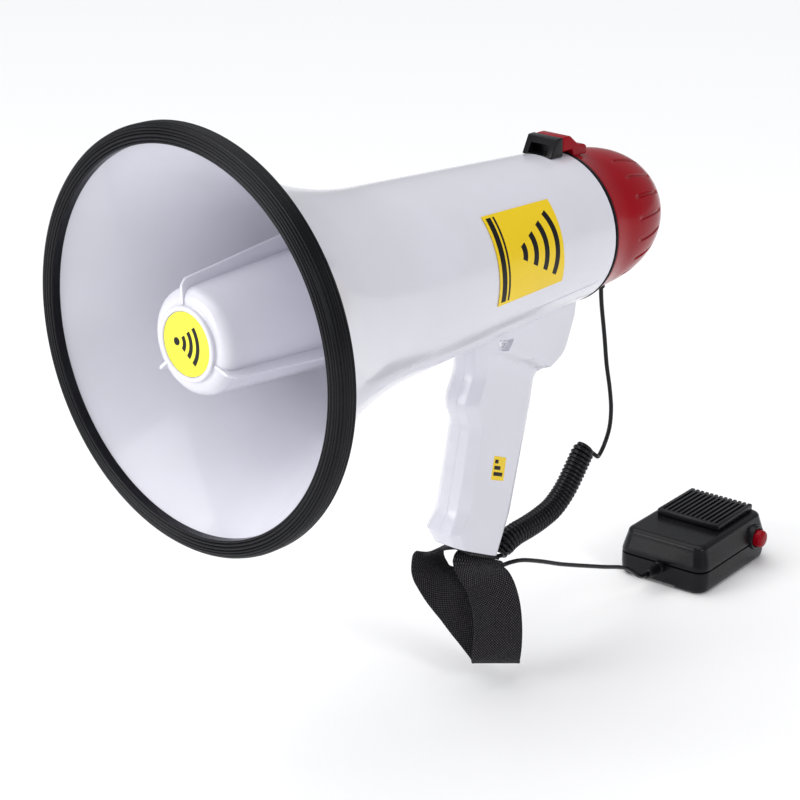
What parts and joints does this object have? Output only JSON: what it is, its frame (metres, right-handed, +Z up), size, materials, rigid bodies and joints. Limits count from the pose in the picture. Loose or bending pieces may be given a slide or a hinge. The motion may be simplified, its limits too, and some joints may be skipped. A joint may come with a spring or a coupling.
{
  "type": "handheld megaphone",
  "caption": "Handheld horn megaphone with a pistol grip, a removable rear cap, a wrist strap and a hand microphone on a curly cord.",
  "frame": {"origin": "the middle of the hand grip, in the megaphone's plane of symmetry", "axes": "+Y along the horn's axis from the bell towards the rear cap, +Z up, +X to the right seen from behind the bell, where the microphone's button is"},
  "size_m": [0.23, 0.5114, 0.393],
  "materials": {
    "white_plastic": "glossy moulded white plastic with a faint lavender cast",
    "red_plastic": "glossy deep red plastic",
    "yellow_label": "glossy yellow label",
    "rim_rubber": "satin black rubber",
    "cord_jacket": "glossy black cord jacket",
    "black_plastic": "satin black plastic",
    "circuit_board": "green board",
    "ferrite": "sintered dark grey",
    "screw_chrome": "bright plated",
    "plain_steel": "plain plate",
    "bare_aluminium": "as cast",
    "voice_copper": "copper wire and a thin pressed dome",
    "cell_sleeve": "printed film sleeve",
    "strap_webbing": "black woven webbing"
  },
  "bodies": {
    "megaphone": {"horn_body": "white_plastic", "side_label": "yellow_label", "rim_guard": "rim_rubber", "reflector": "white_plastic", "reflector_badge": "yellow_label", "tone_tube": "white_plastic", "throat_plate": "white_plastic", "driver_front_ring": "bare_aluminium", "diaphragm": "voice_copper", "voice_coil": "voice_copper", "magnet_top_plate": "plain_steel", "ring_magnet": "ferrite", "magnet_back_plate": "plain_steel", "driver_cover": "black_plastic", "battery_bulkhead": "white_plastic", "front_contact_plate": "plain_steel", "battery_tray": "black_plastic", "battery_cell_1": "cell_sleeve", "battery_cell_2": "cell_sleeve", "battery_cell_3": "cell_sleeve", "battery_cell_4": "cell_sleeve", "battery_cell_5": "cell_sleeve", "battery_cell_6": "cell_sleeve", "battery_cell_7": "cell_sleeve", "battery_cell_8": "cell_sleeve", "rear_contact_plate": "plain_steel", "battery_tray_cover": "black_plastic", "catch_box": "black_plastic", "grip_right": "white_plastic", "grip_left": "white_plastic", "grip_screw": "screw_chrome", "wrist_strap": "strap_webbing", "strap_screw": "screw_chrome"},
    "rear_cap_and_mic": {"rear_cap": "red_plastic", "cap_gasket": "rim_rubber", "volume_control": "plain_steel", "mode_switch_body": "black_plastic", "amplifier_board": "circuit_board", "heat_sink": "bare_aluminium", "output_transformer": "ferrite", "latch_pin": "plain_steel", "cord_gland": "cord_jacket", "cord_lead": "cord_jacket", "cord_curl": "cord_jacket", "cord_tail": "cord_jacket", "mic_lower_shell": "black_plastic", "mic_upper_shell": "black_plastic", "mic_grille": "black_plastic", "mic_board": "circuit_board", "ptt_switch": "black_plastic", "mic_capsule": "plain_steel", "mic_strain_relief": "cord_jacket"},
    "latch": {"cap_latch": "red_plastic"},
    "volume": {"volume_knob": "black_plastic"},
    "mode": {"mode_slider": "black_plastic"},
    "talk_button": {"ptt_button": "red_plastic"}
  },
  "joints": [
    {"name": "rear_cap_pull", "type": "slide", "parent": "megaphone", "child": "rear_cap_and_mic", "axis": [0, 1, 0], "range_m": [0, 0.09]},
    {"name": "cap_latch_press", "type": "hinge", "parent": "rear_cap_and_mic", "child": "latch", "pos_m": [0, 0.083, 0.1835], "axis": [1, 0, 0], "range_deg": [0, 4], "stiffness_Nm_per_rad": 0.3, "springref_deg": -5.73},
    {"name": "volume_knob_turn", "type": "hinge", "parent": "rear_cap_and_mic", "child": "volume", "pos_m": [0, 0.145, 0.143], "axis": [0, 1, 0], "range_deg": [0, 300]},
    {"name": "mode_slide", "type": "slide", "parent": "rear_cap_and_mic", "child": "mode", "axis": [1, 0, 0], "range_m": [-0.004, 0.004]},
    {"name": "ptt_press", "type": "slide", "parent": "rear_cap_and_mic", "child": "talk_button", "axis": [-0.9957, -0.0924, 0], "range_m": [0, 0.003], "stiffness_N_per_m": 250, "springref_m": -0.002}
  ]
}
